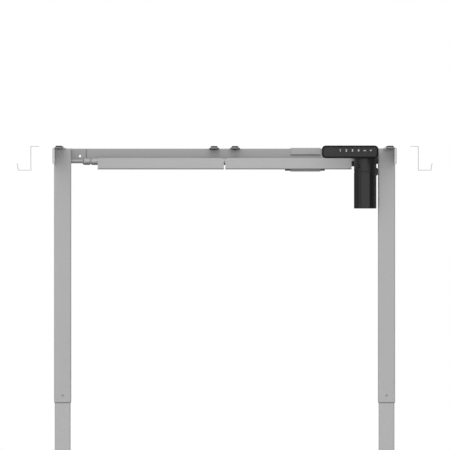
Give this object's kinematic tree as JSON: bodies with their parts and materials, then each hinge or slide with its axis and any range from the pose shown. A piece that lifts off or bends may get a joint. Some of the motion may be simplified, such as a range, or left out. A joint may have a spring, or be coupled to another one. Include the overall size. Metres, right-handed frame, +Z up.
{
  "type": "linear actuator lifting frame",
  "caption": "Motorised linear-actuator lifting frame: telescopic columns joined by a beam, a geared cross shaft, cable trays, a control box, a key handset and side hooks.",
  "frame": {"origin": "on the floor midway between the columns, at the centre of the object's bounding box", "axes": "+X to the right as the user sees it, +Y to the rear, +Z up; the lift moves along +Z"},
  "size_m": [1.0974, 0.58, 1.0268],
  "materials": {
    "grey_paint": "satin powder coat",
    "inner_paint": "satin powder coat",
    "bracket_paint": "satin powder coat",
    "hook_paint": "satin powder coat",
    "tray_paint": "satin powder coat",
    "zinc": "zinc plated",
    "steel": "ground",
    "black_paint": "satin black",
    "cast_alloy": "die cast",
    "black_plastic": "fine texture",
    "grey_plastic": "fine texture",
    "nylon": "natural nylon",
    "gloss_black": "gloss",
    "rubber": "matt",
    "magnet": "sintered",
    "board": "solder mask"
  },
  "bodies": {
    "left_base": {"left_foot": "grey_paint", "left_foot_bolts": "zinc", "left_lower_tube": "inner_paint", "left_nut_block": "nylon"},
    "left_front_glide": {"left_front_leveller": "black_plastic"},
    "left_rear_glide": {"left_rear_leveller": "black_plastic"},
    "right_base": {"right_foot": "grey_paint", "right_foot_bolts": "zinc", "right_lower_tube": "inner_paint", "right_nut_block": "nylon"},
    "right_front_glide": {"right_front_leveller": "black_plastic"},
    "right_rear_glide": {"right_rear_leveller": "black_plastic"},
    "left_screw": {"left_spindle": "steel", "left_bevel_gear": "steel"},
    "right_screw": {"right_spindle": "steel", "right_bevel_gear": "steel"},
    "cross_shaft": {"hex_bars": "zinc", "drive_sleeve": "zinc", "clamp_collar": "zinc", "worm_wheel": "nylon", "bevel_pinions": "steel"},
    "motor_rotor": {"motor_shaft": "steel", "armature": "magnet"},
    "key_1_body": {"key_1": "black_plastic"},
    "key_2_body": {"key_2": "black_plastic"},
    "key_3_body": {"key_3": "black_plastic"},
    "key_4_body": {"key_4": "black_plastic"},
    "key_up_body": {"key_up": "black_plastic"},
    "key_down_body": {"key_down": "black_plastic"},
    "upper_frame": {"left_outer_tube": "grey_paint", "right_outer_tube": "grey_paint", "lower_bushings": "grey_plastic", "small_screws": "zinc", "head_housings": "cast_alloy", "spindle_bearings": "steel", "motor_can": "black_paint", "motor_end_cap": "black_plastic", "motor_magnets": "magnet", "gearbox_housing": "black_plastic", "gearbox_cover": "black_plastic", "main_rail": "grey_paint", "left_beam_end": "grey_paint", "right_beam_end": "grey_paint", "left_side_bracket": "bracket_paint", "right_side_bracket": "bracket_paint", "frame_bolts": "zinc", "table_pads": "rubber", "left_cable_tray": "tray_paint", "right_cable_tray": "tray_paint", "tray_screws": "zinc", "control_box_cradle": "tray_paint", "control_box_base": "black_plastic", "control_box_cover": "black_plastic", "control_board": "board", "handset_front": "black_plastic", "handset_lens": "gloss_black", "handset_board": "board", "handset_back": "black_plastic", "handset_bracket": "black_paint", "bag_hooks": "hook_paint"}
  },
  "joints": [
    {"name": "lift", "type": "slide", "parent": "left_base", "child": "upper_frame", "axis": [0, 0, 1], "range_m": [-0.295, 0.155]},
    {"name": "right_lift", "type": "slide", "parent": "upper_frame", "child": "right_base", "axis": [0, 0, -1], "range_m": [-0.297, 0.157]},
    {"name": "left_screw_spin", "type": "hinge", "parent": "upper_frame", "child": "left_screw", "pos_m": [-0.4275, -0.014, 0.935], "axis": [0, 0, 1], "range_deg": [-5671, 3151]},
    {"name": "right_screw_spin", "type": "hinge", "parent": "upper_frame", "child": "right_screw", "pos_m": [0.4275, -0.014, 0.935], "axis": [0, 0, 1], "range_deg": [-3151, 5671]},
    {"name": "cross_shaft_spin", "type": "hinge", "parent": "upper_frame", "child": "cross_shaft", "pos_m": [0, -0.014, 0.985], "axis": [1, 0, 0], "range_deg": [-5671, 3151]},
    {"name": "rotor_spin", "type": "hinge", "parent": "upper_frame", "child": "motor_rotor", "pos_m": [0.371, -0.0365, 0.985], "axis": [0, 0, 1], "range_deg": [-160021, 84421]},
    {"name": "left_front_levelling", "type": "slide", "parent": "left_base", "child": "left_front_glide", "axis": [0, 0, 1], "range_m": [-0.01, 0]},
    {"name": "left_rear_levelling", "type": "slide", "parent": "left_base", "child": "left_rear_glide", "axis": [0, 0, 1], "range_m": [-0.01, 0]},
    {"name": "right_front_levelling", "type": "slide", "parent": "right_base", "child": "right_front_glide", "axis": [0, 0, 1], "range_m": [-0.01, 0]},
    {"name": "right_rear_levelling", "type": "slide", "parent": "right_base", "child": "right_rear_glide", "axis": [0, 0, 1], "range_m": [-0.01, 0]},
    {"name": "key_1_press", "type": "slide", "parent": "upper_frame", "child": "key_1_body", "axis": [0, 1, 0], "range_m": [0, 0.0008], "stiffness_N_per_m": 600, "springref_m": -0.0008},
    {"name": "key_2_press", "type": "slide", "parent": "upper_frame", "child": "key_2_body", "axis": [0, 1, 0], "range_m": [0, 0.0008], "stiffness_N_per_m": 600, "springref_m": -0.0008},
    {"name": "key_3_press", "type": "slide", "parent": "upper_frame", "child": "key_3_body", "axis": [0, 1, 0], "range_m": [0, 0.0008], "stiffness_N_per_m": 600, "springref_m": -0.0008},
    {"name": "key_4_press", "type": "slide", "parent": "upper_frame", "child": "key_4_body", "axis": [0, 1, 0], "range_m": [0, 0.0008], "stiffness_N_per_m": 600, "springref_m": -0.0008},
    {"name": "key_up_press", "type": "slide", "parent": "upper_frame", "child": "key_up_body", "axis": [0, 1, 0], "range_m": [0, 0.0008], "stiffness_N_per_m": 600, "springref_m": -0.0008},
    {"name": "key_down_press", "type": "slide", "parent": "upper_frame", "child": "key_down_body", "axis": [0, 1, 0], "range_m": [0, 0.0008], "stiffness_N_per_m": 600, "springref_m": -0.0008}
  ],
  "couplings": [
    {"joint": "right_lift", "follows": "lift", "ratio": 1},
    {"joint": "left_screw_spin", "follows": "lift", "rad_per_m": 314.16},
    {"joint": "right_screw_spin", "follows": "lift", "rad_per_m": -314.16},
    {"joint": "cross_shaft_spin", "follows": "lift", "rad_per_m": 314.16},
    {"joint": "rotor_spin", "follows": "lift", "rad_per_m": 9424.8}
  ]
}
